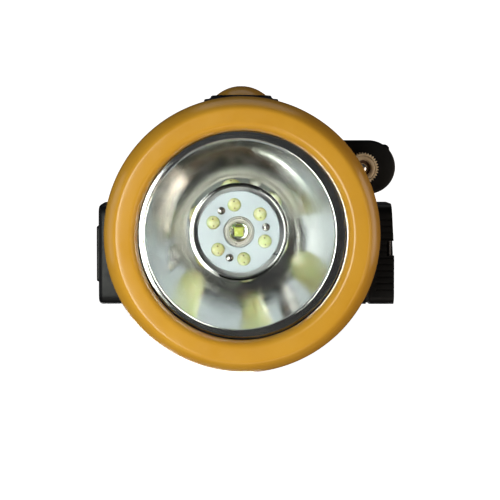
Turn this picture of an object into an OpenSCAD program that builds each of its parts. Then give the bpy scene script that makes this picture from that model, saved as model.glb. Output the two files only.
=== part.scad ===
// Cordless miner's cap lamp with a rear battery case and a tilting helmet clip.
// Millimetres. +Z is up and the lamp shines along -Y. The origin is on the rear face of the
// clip's steel blade, where it bears on the helmet, level with the optical axis.
// Depths are given as distances in front of that face, so a depth d lies at y = -d.

/* [Bezel and lens] */
// Outer diameter of the yellow bezel
bezel_d = 70; // [68:0.5:72]
// Depth of the bezel from its front to its rear face
bezel_depth = 13.6; // [13:0.1:14.2]
// Diameter of the opening in the bezel's front
window_d = 52.6; // [51:0.1:54]
// Thickness of the clear lens
lens_t = 2; // [1.6:0.1:2.2]

/* [Optics] */
// How far the reflector and its diodes sit to the left of the bezel's middle
optics_left = 0.6; // [0:0.1:0.6]
// Diameter of the reflector's open mouth
mouth_d = 48; // [46:0.5:48.5]
// Diameter of the reflector's neck
neck_d = 24.4; // [24:0.1:24.8]
// Focal length of the parabola
focal = 6.65; // [6.4:0.05:6.9]
// Radius of the circle that the auxiliary diodes stand on
aux_circle_r = 7.1; // [6.9:0.1:7.3]
// Radius of one auxiliary diode's dome
aux_dome_r = 1.75; // [1.5:0.05:1.8]

/* [Case] */
// Overall depth from the helmet face to the front of the bezel
front = 66.6; // [66.2:0.1:70]
// Outer diameter of the round lamp housing
housing_d = 66; // [64:0.5:66.5]
// Height of the battery case
case_h = 27; // [26:0.5:28]
// Distance of the battery case's middle below the optical axis
case_drop = 6.6; // [6.2:0.1:7]
// Wall thickness of the moulded shells
wall = 1.8; // [1.6:0.1:2]

/* [Battery] */
// Diameter of the lithium cell
cell_d = 18.3; // [18:0.1:18.6]
// Length of the lithium cell without its nub
cell_l = 64.6; // [64:0.1:65]

/* [Button] */
// Diameter of the push button where it leaves its collar
button_d = 13.2; // [12.6:0.1:13.4]
// Height of the button's dome above the collar
dome_h = 2.5; // [2.2:0.1:2.8]
// Travel of the button
button_travel = 1; // [0.6:0.1:1]

/* [Charging contact] */
// Outer diameter of the knurled brass nut
nut_d = 8.4; // [8.2:0.1:8.8]
// Number of knurls on the nut
knurls = 46; // [36:1:48]
// Diameter of the charging socket's bore
socket_d = 4.1; // [4:0.1:4.4]

/* [Helmet clip] */
// Width of the steel blade
blade_w = 20; // [18:0.5:22]
// Thickness of the steel blade
blade_t = 1.5; // [1.3:0.1:1.5]
// Gap that the helmet's bracket slides into
clip_gap = 5.2; // [5:0.1:5.3]
// Diameter of the hinge pin
pin_d = 3; // [2.8:0.1:3.2]

/* [Hidden] */
$fn = 96;

BLACK = [0.05, 0.05, 0.055];
YELLOW = [0.85, 0.6, 0.15];
STEEL = [0.72, 0.72, 0.74];
BRASS = [0.8, 0.64, 0.3];

// Depths of the front stack
bezel_r = bezel_d / 2;
window_r = window_d / 2;
ridge_r = bezel_r - 3.8;
bezel_back = front - bezel_depth;
gasket_front = front - 3.2;
gasket_t = 0.6;
lens_front = gasket_front - gasket_t;
lens_back = lens_front - lens_t;
lens_r = window_r + 1.8;
mouth_r = mouth_d / 2;
neck_r = neck_d / 2;
rim_d = lens_back;
bowl_rim = rim_d - 0.95;
flange_d = bowl_rim - 0.4;
flange_r = lens_r - 0.3;
flange_t = 1.2;
vertex_d = bowl_rim - mouth_r * mouth_r / (4 * focal);
neck_plane = vertex_d + neck_r * neck_r / (4 * focal);
reflector_t = 1.2;
neck_bore_r = neck_r - 0.6;
neck_tube_r = neck_r + 0.6;
neck_back = neck_plane - 3.7;

// Depths of the light engine
plate_front = neck_plane - 0.3;
plate_t = 1;
plate_r = 10.6;
board_t = 0.8;
aux_board_back = plate_front - 2.8;
star_t = 1.6;
star_back = aux_board_back - 0.2 - star_t;
star_r = 9.8;
emitter_r = 3.9;
emitter_top = plate_front - 0.4;
aux_phase = 100;
screw_phase = 130;

// Depths and radii of the lamp housing
housing_r = housing_d / 2;
housing_back = 31.8;
housing_wall = 2;
floor_d = housing_back + housing_wall;
sink_front = floor_d + 2.4;
thread_r = bezel_r - 2.9;
rim_bore_r = lens_r + 0.6;
seat_d = flange_d - flange_t;
seat_r = rim_bore_r - 1.8;
rim_front = front - 4.6;

// Battery case
case_back = 9;
case_front = housing_back;
case_mid = (case_back + case_front) / 2;
case_z = -case_drop;
case_left = -37.9;
case_right = 33.6;
cell_r = cell_d / 2;
cell_left = -33.4;
cap_right = 41;
corner_d = [case_mid - 7.6, case_mid + 7.6];
corner_z = [case_z - 9.8, case_z + 9.8];

// Button, on a vertical axis
button_at = 42;
boss_r = 9.7;
boss_top = 34.6;
collar_top = boss_top + 0.9;
collar_lip_r = 7.8;
bore_r = 8.6;
pocket_floor = boss_top - 3.8;
switch_z = pocket_floor - 6.6;
button_r = button_d / 2;
dome_R = (button_r * button_r + dome_h * dome_h) / (2 * dome_h);

// Charging contact, on an axis parallel to the lamp's
socket_x = 31.4;
socket_z = 16.6;
lug_x = 33.1;
lug_z = 16.9;
lug_r = 7;
lug_back = 35.6;
lug_front = 44.6;
socket_r = socket_d / 2;
sleeve_r = 3.25;
chamber_back = lug_back + 4;

// Helmet clip
clip_plate_back = blade_t + clip_gap;
clip_plate_front = clip_plate_back + 1.9;
clip_top = 13;
pivot_d = 10.5;
pivot_z = case_z - case_h / 2 - 3.7;
pin_r = pin_d / 2;
barrel_r = 3.1;
ear_in = 7;
ear_out = 10;

// ---------------------------------------------------------------- helpers

// Turns a profile of [radius, depth] points about the optical axis.
module turned(profile) {
    rotate([90, 0, 0]) rotate_extrude() polygon(profile);
}

// A round bar along the optical axis, from depth d0 to d1, at x and z.
module bar(r, d0, d1, x = 0, z = 0) {
    translate([x, -d0, z]) rotate([90, 0, 0]) cylinder(r = r, h = d1 - d0);
}

// A round bar along X, from x0 to x1, at depth d and height z.
module cross_bar(r, x0, x1, d, z) {
    translate([x0, -d, z]) rotate([0, 90, 0]) cylinder(r = r, h = x1 - x0);
}

// Moves a shape from the bezel's axis to the reflector's.
module to_optics() {
    translate([-optics_left, 0, 0]) children();
}

// A box between two corners, given as [x, depth, z].
module block(a, b) {
    translate([a[0], -b[1], a[2]]) cube([b[0] - a[0], b[1] - a[1], b[2] - a[2]]);
}

// A box along X whose four long edges are rounded.
module rounded_bar(x0, x1, d0, d1, z0, z1, r) {
    block([x0, d0 + r, z0], [x1, d1 - r, z1]);
    block([x0, d0, z0 + r], [x1, d1, z1 - r]);
    for (d = [d0 + r, d1 - r], z = [z0 + r, z1 - r]) cross_bar(r, x0, x1, d, z);
}

// A plate facing the rear, with rounded corners.
module rounded_plate(w, z0, z1, d0, d1, r) {
    block([-w / 2 + r, d0, z0], [w / 2 - r, d1, z1]);
    block([-w / 2, d0, z0 + r], [w / 2, d1, z1 - r]);
    for (x = [-w / 2 + r, w / 2 - r], z = [z0 + r, z1 - r]) bar(r, d0, d1, x, z);
}

// Points of an arc from angle a0 to a1, as an ellipse with half axes rx and ry.
function arc(c, rx, ry, a0, a1, n) =
    [for (i = [0:n]) let (a = a0 + (a1 - a0) * i / n) [c[0] + rx * cos(a), c[1] + ry * sin(a)]];

// Depth of the parabola at radius r, and its slope.
function parabola(r) = vertex_d + r * r / (4 * focal);
function slope(r) = r / (2 * focal);

// Points of the parabola, or of a wall t behind it, at radii from r0 to r1.
function bowl(r0, r1, t, n) =
    [for (i = [0:n])
        let (r = r0 + (r1 - r0) * i / n, m = slope(r), k = t / sqrt(1 + m * m))
        [r + m * k, parabola(r) - k]];

// Unit vector, and a frame carried along a route for sweeping a round tube.
function unit(v) = v / norm(v);
function tangent(p, i) = unit(p[min(i + 1, len(p) - 1)] - p[max(i - 1, 0)]);
function normal_to(t) = unit(cross(t, abs(t[0]) < 0.9 ? [1, 0, 0] : [0, 1, 0]));
function carried(p, i) =
    i == 0 ? normal_to(tangent(p, 0))
    : let (t = tangent(p, i), n = carried(p, i - 1)) unit(n - (n * t) * t);

// A round wire of radius r along the route p.
module wire(p, r, sides = 8) {
    rings = [for (i = [0:len(p) - 1])
        let (t = tangent(p, i), u = carried(p, i), v = cross(t, u))
        for (k = [0:sides - 1]) let (a = 360 * k / sides) p[i] + r * (u * cos(a) + v * sin(a))];
    skin = [for (i = [0:len(p) - 2], k = [0:sides - 1])
        let (a = i * sides + k, b = i * sides + (k + 1) % sides) [a + sides, b + sides, b, a]];
    first = [for (k = [0:sides - 1]) k];
    last = [for (k = [sides - 1:-1:0]) (len(p) - 1) * sides + k];
    polyhedron(rings, concat(skin, [first, last]), convexity = 6);
}

// A smooth route through hand-placed points, as a Catmull-Rom curve with n steps a span.
function spline_point(a, b, c, d, t) =
    0.5 * (2 * b + (c - a) * t + (2 * a - 5 * b + 4 * c - d) * t * t
        + (3 * b - a - 3 * c + d) * t * t * t);
function smooth(p, n) = let (m = len(p) - 1) concat(
    [for (i = [0:m - 1], k = [0:n - 1])
        spline_point(p[max(i - 1, 0)], p[i], p[i + 1], p[min(i + 2, m)], k / n)], [p[m]]);

// A coil spring's centreline: radius r, from 0 to length h, with closed ends.
function coil(r, h, turns, n) =
    [for (i = [0:turns * n]) let (a = 360 * i / n) [r * cos(a), r * sin(a), h * i / (turns * n)]];

// A countersink-free screw along the optical axis with its head at the larger depth.
module screw_in(x, z, head_r, head_t, shank_r, d_tip, d_head) {
    difference() {
        union() {
            bar(head_r, d_head, d_head + head_t, x, z);
            bar(shank_r, d_tip, d_head + 0.1, x, z);
        }
        for (w = [[head_r * 1.2, 0.5], [0.5, head_r * 1.2]])
            block([x - w[0] / 2, d_head + head_t * 0.45, z - w[1] / 2],
                [x + w[0] / 2, d_head + head_t + 1, z + w[1] / 2]);
    }
}

// A knurled outline of outer radius r with n V-shaped cuts.
module knurled(r, n, deep) {
    polygon([for (i = [0:2 * n - 1])
        let (a = 180 * i / n, q = i % 2 == 0 ? r : r - deep) [q * cos(a), q * sin(a)]]);
}

// The battery case's section between two ends, grown by g on every side.
module case_section(x0, x1, g = 0) {
    rounded_bar(x0, x1, case_back - g, case_front + g,
        case_z - case_h / 2 - g, case_z + case_h / 2 + g, 3 + g);
}

// Places a child at each of the four corners of the battery case's section.
module at_corners() {
    for (d = corner_d, z = corner_z) translate([0, -d, z]) children();
}

// Where the light engine's screws and auxiliary diodes stand.
function plate_spot(i, n, phase) =
    [aux_circle_r * cos(phase + 360 * i / n), aux_circle_r * sin(phase + 360 * i / n)];

// Where the screws that hold the battery case to the lamp housing stand.
case_screw_spots = [[-22, corner_z[0]], [22, corner_z[0]], [-26.8, corner_z[1]],
    [26.8, corner_z[1]]];

// Where the heat sink's and the rear cover's screws stand.
sink_screw_spots = [for (a = [-90, 30, 150]) [15.2 * cos(a), 15.2 * sin(a) * (a > 0 ? 0.6 : 1)]];
cover_screw_spots = [for (x = [-18.4, 18.4], z = [11, 20.6]) [x, z]];

// ---------------------------------------------------------------- bezel and lens

// Yellow ring with a flat front, a rounded ridge and a bevelled shoulder.
module bezel() {
    color(YELLOW) difference() {
        turned(concat(
            [[thread_r, bezel_back], [bezel_r - 0.6, bezel_back]],
            [[bezel_r, bezel_back + 0.6], [bezel_r, front - 5.2]],
            arc([bezel_r - 3.2, front - 5.2], 3.2, 3.6, 12, 66, 6),
            arc([ridge_r, front - 0.9], 1, 0.9, 42, 90, 5),
            [[window_r + 0.6, front - 0.15], [window_r, front - 0.9]],
            [[window_r, gasket_front], [lens_r + 0.5, gasket_front]],
            [[lens_r + 0.5, rim_front + 0.3], [thread_r, rim_front + 0.3]]));
        translate([0, -(bezel_back + 5.2), -bezel_r - 1]) cylinder(r = 1.55, h = 5);
    }
}

// Grub screw that locks the bezel's thread, in the underside of its skirt.
module bezel_lock_screw() {
    color(STEEL) translate([0, -(bezel_back + 5.2), -bezel_r + 0.5]) difference() {
        cylinder(r = 1.5, h = 4.3);
        translate([0, 0, -1]) cylinder(r = 0.85, h = 2.6, $fn = 6);
    }
}

module lens() {
    color([0.85, 0.92, 0.95, 0.35]) turned([[0, lens_back], [lens_r - 0.3, lens_back],
        [lens_r, lens_back + 0.3], [lens_r, lens_front], [0, lens_front]]);
}

module lens_gasket() {
    color(BLACK) turned([[window_r + 0.3, lens_front], [lens_r + 0.2, lens_front],
        [lens_r + 0.2, gasket_front], [window_r + 0.3, gasket_front]]);
}

// ---------------------------------------------------------------- optics

// Metallised parabola with a bevelled rim, a flange behind it and a tube at the neck.
module reflector() {
    color(STEEL) to_optics() turned(concat(
        [[neck_bore_r, neck_back], [neck_bore_r, neck_plane - 0.5]],
        bowl(neck_r, mouth_r, 0, 28),
        arc([mouth_r + 0.5, bowl_rim + 0.43], 0.48, 0.5, 176, 81, 8),
        [[mouth_r + 2.35, bowl_rim + 0.6], [mouth_r + 2.4, flange_d]],
        [[flange_r, flange_d], [flange_r, seat_d], [mouth_r + 1.6, seat_d]],
        bowl(mouth_r - 0.9, neck_r + 0.5, reflector_t, 26),
        [[neck_tube_r, neck_back]]));
}

// Pale disc that frames the diodes in the reflector's neck.
module led_plate() {
    color([0.78, 0.8, 0.84]) to_optics() difference() {
        bar(plate_r, plate_front - plate_t, plate_front);
        bar(emitter_r + 0.15, plate_front - plate_t - 1, plate_front + 1);
        for (i = [0:5], p = [plate_spot(i, 6, aux_phase)])
            bar(aux_dome_r + 0.1, plate_front - plate_t - 1, plate_front + 1, p[0], p[1]);
        for (i = [0:2], p = [plate_spot(i, 3, screw_phase)])
            bar(0.75, plate_front - plate_t - 1, plate_front + 1, p[0], p[1]);
    }
}

module plate_screws() {
    color(STEEL) to_optics() for (i = [0:2], p = [plate_spot(i, 3, screw_phase)])
        screw_in(p[0], p[1], 1.05, 0.8, 0.7, star_back - 1.4, plate_front);
}

// Circuit board that carries the auxiliary diodes, round the main emitter.
module aux_board() {
    color([0.1, 0.35, 0.2]) to_optics() difference() {
        bar(plate_r - 0.2, aux_board_back, aux_board_back + board_t);
        bar(emitter_r + 0.3, aux_board_back - 1, aux_board_back + board_t + 1);
        for (i = [0:2], p = [plate_spot(i, 3, screw_phase)])
            bar(0.75, aux_board_back - 1, aux_board_back + board_t + 1, p[0], p[1]);
    }
}

// Six domed diodes that stand on their board and look through the plate.
module aux_leds() {
    base = aux_board_back + board_t;
    color([0.9, 0.88, 0.45]) to_optics() for (i = [0:5], p = [plate_spot(i, 6, aux_phase)])
        translate([p[0], 0, p[1]]) turned(concat([[0, base], [aux_dome_r, base]],
            arc([0, plate_front + 0.1], aux_dome_r, aux_dome_r * 0.8, 0, 90, 10)));
}

// Aluminium star board under the main emitter.
module main_led_star() {
    color([0.85, 0.86, 0.88]) to_optics() difference() {
        bar(star_r, star_back, star_back + star_t);
        for (i = [0:2], p = [plate_spot(i, 3, screw_phase)])
            bar(0.85, star_back - 1, star_back + star_t + 1, p[0], p[1]);
    }
}

// Moulded emitter body with a cup for the die and two locating pegs.
module main_led_body() {
    color([0.9, 0.9, 0.86]) to_optics() difference() {
        union() {
            bar(emitter_r, star_back + star_t, emitter_top - 0.5);
            bar(emitter_r - 0.5, star_back + star_t, emitter_top);
            for (a = [75, 255]) bar(0.35, emitter_top - 1, emitter_top + 0.25,
                3 * cos(a), 3 * sin(a));
        }
        bar(2.6, emitter_top - 0.8, emitter_top + 2);
    }
}

module main_led_die() {
    color([0.95, 0.9, 0.3]) to_optics() block([-1.3, emitter_top - 0.8, -1.3], [1.3, emitter_top - 0.4, 1.3]);
}

// Clear dome over the die.
module main_led_lens() {
    color([0.9, 0.95, 0.95, 0.4]) to_optics() turned(concat([[0, emitter_top - 0.4],
        [2.55, emitter_top - 0.4], [2.55, emitter_top]],
        arc([0, emitter_top], 2.5, 2.2, 2, 90, 10)));
}

// ---------------------------------------------------------------- lamp housing and heat sink

// Aluminium disc with radial fins and a pedestal under the star board, flat on top where the
// driver board stands.
module heat_sink() {
    color([0.75, 0.76, 0.78]) difference() {
        union() {
            difference() {
                bar(24.6, floor_d, sink_front);
                block([-30, floor_d - 1, 11.2], [30, sink_front + 1, 30]);
            }
            bar(plate_r + 1.4, floor_d, star_back, -optics_left, 0);
            for (i = [8:28]) rotate([0, -i * 10 - 90, 0])
                block([18.2, sink_front - 0.5, -0.6], [24, sink_front + 5.4, 0.6]);
        }
        for (i = [0:2], p = [plate_spot(i, 3, screw_phase)])
            bar(0.72, star_back - 3, star_back + 1, p[0] - optics_left, p[1]);
        for (p = sink_screw_spots) bar(1.35, floor_d - 1, sink_front + 1, p[0], p[1]);
        for (p = sink_screw_spots) bar(2.2, sink_front, star_back + 1, p[0], p[1]);
        block([-20, floor_d - 1, 12.4], [20, sink_front + 3, 30]);
    }
}

module heat_sink_screws() {
    color(STEEL) for (p = sink_screw_spots)
        screw_in(p[0], p[1], 1.9, 1.1, 1.25, housing_back + 0.3, sink_front);
}

// Round black housing with a thread for the bezel, a boss for the button and a charging lug.
module lamp_housing() {
    color(BLACK) difference() {
        union() {
            turned([[0, housing_back], [housing_r - 1.2, housing_back],
                [housing_r, housing_back + 1.2], [housing_r, bezel_back - 0.4],
                [thread_r - 0.05, bezel_back - 0.4], [thread_r - 0.05, rim_front],
                [0, rim_front]]);
            translate([0, -button_at, 22]) cylinder(r = boss_r, h = boss_top - 22);
            bar(lug_r, lug_back, lug_front, lug_x, lug_z);
            block([20, lug_back, lug_z - lug_r], [lug_x, lug_front, lug_z + lug_r]);
            translate([lug_x, -lug_front, lug_z]) rotate([0, -48, 0])
                translate([lug_r - 1, 0, -0.9]) cube([1.5, lug_front - lug_back, 1.8]);
        }
        difference() {
            turned([[0, floor_d], [housing_r - housing_wall, floor_d],
                [housing_r - housing_wall, bezel_back - 4], [seat_r, bezel_back - 0.6],
                [seat_r, seat_d], [rim_bore_r, seat_d],
                [rim_bore_r, front], [0, front]]);
            translate([0, -button_at, pocket_floor - 2.8]) cylinder(r = boss_r, h = 10);
            for (x = [-6.6, 6.6]) translate([x, -button_at, switch_z]) cylinder(r = 1.6, h = 6);
            for (x = [-17.4, 17.4]) bar(1.6, floor_d - 1, floor_d + 1.4, x, 16.4);
            bar(nut_d / 2 + 1.6, floor_d - 1, bezel_back - 1, socket_x, socket_z);
        }
        translate([0, -button_at, pocket_floor]) cylinder(r = bore_r, h = 10);
        translate([0, -button_at, 20]) cylinder(r = 2.2, h = 20);
        for (x = [-6.6, 6.6]) translate([x, -button_at, switch_z - 1]) cylinder(r = 0.8, h = 4.4);
        turned([[30.6, bezel_back + 1.4], [40, bezel_back + 1.4],
            [40, bezel_back + 3.2], [30.6, bezel_back + 3.2]]);
        translate([0, -(bezel_back + 5.2), -thread_r - 1]) cylinder(r = 1.55, h = 3.2);
        bar(sleeve_r, chamber_back, lug_front + 1, socket_x, socket_z);
        bar(nut_d / 2 + 0.3, lug_front, bezel_back + 1, socket_x, socket_z);
        block([-15, housing_back - 1, 12.6], [15, floor_d + 1, 21.4]);
        for (p = case_screw_spots) bar(1.3, housing_back - 1, floor_d + 1, p[0], p[1]);
        for (p = sink_screw_spots) bar(1.26, housing_back + 0.3, floor_d + 1, p[0], p[1]);
        for (p = cover_screw_spots) bar(1.02, housing_back - 1, floor_d + 0.1, p[0], p[1]);
    }
}

module housing_oring() {
    color(BLACK) rotate([90, 0, 0]) translate([0, 0, bezel_back + 2.3]) rotate_extrude()
        translate([31.34, 0]) circle(r = 0.7, $fn = 24);
}

// ---------------------------------------------------------------- battery

// Transverse case with a round bore for the cell, open at the right end, with hinge knuckle.
module battery_case() {
    knuckle_z = case_z - case_h / 2;
    color(BLACK) difference() {
        union() {
            case_section(case_left, case_right);
            rounded_bar(case_left - 0.7, case_left + 2, case_back + 4, case_front - 4,
                case_z - 7.5, case_z + 7.5, 1);
            cross_bar(barrel_r, -ear_in + 0.35, ear_in - 0.35, pivot_d, pivot_z);
            block([-ear_in + 0.35, pivot_d, pivot_z - barrel_r],
                [ear_in - 0.35, pivot_d + 5.5, knuckle_z + 2.2]);
            block([-ear_in + 0.35, pivot_d - 0.9, pivot_z + 1],
                [ear_in - 0.35, pivot_d + 1, knuckle_z + 2.2]);
        }
        cross_bar(cell_r + 0.35, cell_left - 0.9, case_right + 1, case_mid, case_z);
        cross_bar(pin_r + 0.05, -ear_in, ear_in, pivot_d, pivot_z);
        at_corners() translate([case_right - 5.4, 0, 0]) rotate([0, 90, 0])
            cylinder(r = 1, h = 20);
        for (p = case_screw_spots) bar(1.12, case_front - 6.4, case_front + 1, p[0], p[1]);
    }
}

module case_screws() {
    color(STEEL) for (p = case_screw_spots)
        screw_in(p[0], p[1], 2, 1.2, 1.1, case_front - 6.2, floor_d);
}

// End cap with fine ribs, a slightly tapered end, and a recess that holds the lanyard pin.
module battery_cap() {
    slot_z = case_z + 1.6;
    color(BLACK) difference() {
        union() {
            case_section(case_right + 0.8, cap_right);
            cross_bar(cell_r, case_right - 1.4, case_right + 1, case_mid, case_z);
        }
        cross_bar(cell_r - 1.8, case_right - 3, case_right + 2.9, case_mid, case_z);
        for (i = [0:11]) block([case_right + 2.4, case_front - 0.2, case_z - 9.6 + 1.7 * i],
            [cap_right + 1, case_front + 1, case_z - 9.1 + 1.7 * i]);
        block([cap_right - 2.1, case_mid + 7, slot_z - 2],
            [cap_right + 1, case_front + 1, slot_z + 2]);
        translate([cap_right - 0.7, -case_front, case_z + case_h / 2]) rotate([0, -3, 0])
            translate([0, -10, -13]) cube([5, 50, 20]);
        translate([cap_right - 1.2, -(case_front - 2.2), slot_z - 4.2]) cylinder(r = 0.55, h = 8.4);
        at_corners() translate([case_right, 0, 0]) rotate([0, 90, 0]) cylinder(r = 1.3, h = 20);
        at_corners() translate([cap_right - 2.6, 0, 0]) rotate([0, 90, 0])
            cylinder(r = 2.1, h = 20);
    }
}

module cap_gasket() {
    color([0.15, 0.15, 0.15]) difference() {
        case_section(case_right, case_right + 0.8, -0.4);
        cross_bar(cell_r + 0.2, case_right - 1, case_right + 2, case_mid, case_z);
        at_corners() translate([case_right - 1, 0, 0]) rotate([0, 90, 0]) cylinder(r = 1.4, h = 4);
    }
}

module cap_screws() {
    color(STEEL) at_corners() difference() {
        union() {
            translate([case_right - 5, 0, 0]) rotate([0, 90, 0])
                cylinder(r = 0.98, h = cap_right - 2.6 - case_right + 5.1);
            translate([cap_right - 2.6, 0, 0]) rotate([0, 90, 0]) cylinder(r = 1.9, h = 1.2);
        }
        translate([cap_right - 1.9, -1.3, -0.25]) cube([2, 2.6, 0.5]);
        translate([cap_right - 1.9, -0.25, -1.3]) cube([2, 0.5, 2.6]);
    }
}

// Steel pin across the cap's slot, where a lanyard is tied.
module lanyard_pin() {
    color(STEEL) translate([cap_right - 1.2, -(case_front - 2.2), case_z - 2.5])
        cylinder(r = 0.5, h = 8.2);
}

module battery_cell() {
    color([0.2, 0.45, 0.75]) union() {
        cross_bar(cell_r, cell_left, cell_left + cell_l - 0.6, case_mid, case_z);
        cross_bar(cell_r - 0.4, cell_left, cell_left + cell_l, case_mid, case_z);
        cross_bar(3, cell_left - 0.6, cell_left + 1, case_mid, case_z);
    }
}

// Nickel tab that the cell's nub bears on.
module cell_contact() {
    color(STEEL) cross_bar(6, cell_left - 0.9, cell_left - 0.6, case_mid, case_z);
}

// Coil that holds the cell against its contact and carries its other pole.
module cell_spring() {
    x0 = cell_left + cell_l + 0.35;
    color(STEEL) translate([x0, -case_mid, case_z]) rotate([0, 90, 0])
        wire(coil(5, case_right + 2.5 - x0, 3, 24), 0.35);
}

// ---------------------------------------------------------------- rear cover and electronics

// Plate over the driver board's opening, in the back of the housing above the battery.
module rear_cover() {
    color(BLACK) difference() {
        union() {
            rounded_plate(42, 8.4, 23.2, housing_back - 3, housing_back - 0.5, 2.5);
            block([-14.6, housing_back - 0.6, 13], [14.6, housing_back + 0.6, 21]);
        }
        block([-12.8, housing_back - 1.4, 14.4], [12.8, housing_back + 2, 19.6]);
        for (p = cover_screw_spots) bar(1.15, housing_back - 4, housing_back + 1, p[0], p[1]);
        for (p = cover_screw_spots) bar(2, housing_back - 4, housing_back - 1.7, p[0], p[1]);
    }
}

module cover_gasket() {
    color([0.15, 0.15, 0.15]) difference() {
        rounded_plate(41, 8.9, 22.7, housing_back - 0.5, housing_back, 2);
        block([-15, housing_back - 1, 12.6], [15, housing_back + 1, 21.4]);
        for (p = cover_screw_spots) bar(1.15, housing_back - 1, housing_back + 1, p[0], p[1]);
    }
}

module cover_screws() {
    color(STEEL) for (p = cover_screw_spots) difference() {
        union() {
            bar(1, housing_back - 1.8, floor_d - 0.1, p[0], p[1]);
            bar(1.85, housing_back - 2.8, housing_back - 1.7, p[0], p[1]);
        }
        block([p[0] - 1.2, housing_back - 4, p[1] - 0.25], [p[0] + 1.2, housing_back - 2.2,
            p[1] + 0.25]);
        block([p[0] - 0.25, housing_back - 4, p[1] - 1.2], [p[0] + 0.25, housing_back - 2.2,
            p[1] + 1.2]);
    }
}

board_back = floor_d + 1.4;
module driver_board() {
    color([0.1, 0.35, 0.2]) block([-19.6, board_back, 13.4], [19.6, board_back + 1, 21.2]);
}

module board_inductor() {
    color([0.2, 0.2, 0.22]) difference() {
        block([-13, board_back + 1, 14.6], [-7, board_back + 4, 20.6]);
        bar(2, board_back + 3.6, board_back + 5, -10, 17.6);
    }
}

module board_capacitor() {
    color(STEEL) union() {
        bar(2, board_back + 1, board_back + 5.6, 8.6, 18);
        block([6.5, board_back + 1, 15.9], [10.7, board_back + 1.6, 20.1]);
    }
}

module board_chips() {
    color([0.08, 0.08, 0.08]) {
        block([-3, board_back + 1, 15.2], [2, board_back + 2.4, 19.2]);
        block([12.4, board_back + 1, 15.4], [15.4, board_back + 2, 18.4]);
        for (x = [-17.6, -15.6]) block([x, board_back + 1, 18], [x + 1.2, board_back + 1.6, 20]);
    }
}

// ---------------------------------------------------------------- button

module switch_board() {
    color([0.1, 0.35, 0.2]) difference() {
        translate([-9, -button_at - 4.4, switch_z - 1]) cube([18, 8.8, 1]);
        for (x = [-6.6, 6.6]) translate([x, -button_at, switch_z - 2]) cylinder(r = 0.95, h = 5);
    }
}

module switch_board_screws() {
    color(STEEL) for (x = [-6.6, 6.6]) translate([x, -button_at, 0]) union() {
        translate([0, 0, switch_z - 1.1]) cylinder(r = 0.78, h = 3.6);
        translate([0, 0, switch_z - 1.9]) cylinder(r = 1.5, h = 0.9);
    }
}

module switch_body() {
    color([0.12, 0.12, 0.13]) translate([0, -button_at, 0]) difference() {
        translate([-3.1, -3.1, switch_z]) cube([6.2, 6.2, 2.4]);
        translate([0, 0, switch_z + 1]) cylinder(r = 1.55, h = 5);
    }
}

// Push rod of the switch, which follows the plunger.
module switch_stem() {
    color([0.85, 0.85, 0.82]) translate([0, -button_at, switch_z + 2.2]) cylinder(r = 1.5, h = 1.4);
}

// Yellow domed cap with a retaining flange and a hollow underside.
module button_cap() {
    color(YELLOW) translate([0, -button_at, pocket_floor]) rotate_extrude() polygon(concat(
        [[1.9, 3.2], [5.4, 3.2], [5.4, 1.6], [7.85, 1.6], [7.85, 2.15],
        [button_r, 2.15], [button_r, collar_top - pocket_floor]],
        arc([0, collar_top - pocket_floor + dome_h - dome_R], dome_R, dome_R,
            asin((dome_R - dome_h) / dome_R), 90, 14), [[0, 4.2], [1.9, 4.2]]));
}

module button_plunger() {
    color([0.85, 0.85, 0.82]) translate([0, -button_at, pocket_floor - 3]) union() {
        cylinder(r = 1.85, h = 7.2);
        translate([0, 0, 4.4]) cylinder(r = 3.2, h = 0.6);
    }
}

module button_spring() {
    color(STEEL) translate([0, -button_at, pocket_floor + 0.3])
        wire(coil(4.3, 2.6, 2.5, 24), 0.28);
}

// Black ring pressed into the boss, which keeps the cap in.
module button_collar() {
    color([0.08, 0.08, 0.09]) translate([0, -button_at, 0]) rotate_extrude() polygon([
        [8.05, pocket_floor + 0.6], [bore_r - 0.03, pocket_floor + 0.6],
        [bore_r - 0.03, boss_top - 0.4], [bore_r - 0.3, boss_top + 0.1],
        [collar_lip_r, boss_top + 0.3], [collar_lip_r - 0.3, collar_top],
        [button_r + 0.08, collar_top], [button_r + 0.08, pocket_floor + 2.25],
        [8.05, pocket_floor + 2.25]]);
}

module button_seal() {
    color([0.15, 0.15, 0.15]) translate([0, -button_at, pocket_floor]) difference() {
        cylinder(r = bore_r - 0.03, h = 0.55);
        translate([0, 0, -1]) cylinder(r = 5.2, h = 3);
    }
}

// ---------------------------------------------------------------- charging contact

// Brass sleeve through the lug's front wall.
module charge_socket() {
    color(BRASS) difference() {
        bar(sleeve_r - 0.02, chamber_back, lug_front + 2.7, socket_x, socket_z);
        bar(socket_r, chamber_back - 1, lug_front + 3, socket_x, socket_z);
    }
}

// Knurled nut that clamps the sleeve to the lug.
module charge_nut() {
    color(BRASS) difference() {
        union() {
            translate([socket_x, -lug_front, socket_z]) rotate([90, 0, 0]) linear_extrude(2.5)
                knurled(nut_d / 2, knurls, 0.25);
            bar(nut_d / 2 - 0.4, lug_front, lug_front + 2.8, socket_x, socket_z);
        }
        bar(sleeve_r + 0.01, lug_front - 1, lug_front + 5, socket_x, socket_z);
    }
}

module charge_insulator() {
    color(BLACK) difference() {
        bar(socket_r - 0.03, chamber_back, lug_front + 1.2, socket_x, socket_z);
        bar(1.42, chamber_back - 1, lug_front + 5, socket_x, socket_z);
    }
}

module charge_stud() {
    color(STEEL) union() {
        bar(1.4, chamber_back, lug_front + 1.5, socket_x, socket_z);
        translate([socket_x, 0, socket_z]) turned(concat([[0, lug_front + 1],
            [1.4, lug_front + 1]], arc([0, lug_front + 1.5], 1.4, 0.6, 0, 90, 8)));
    }
}

// ---------------------------------------------------------------- helmet clip

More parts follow.
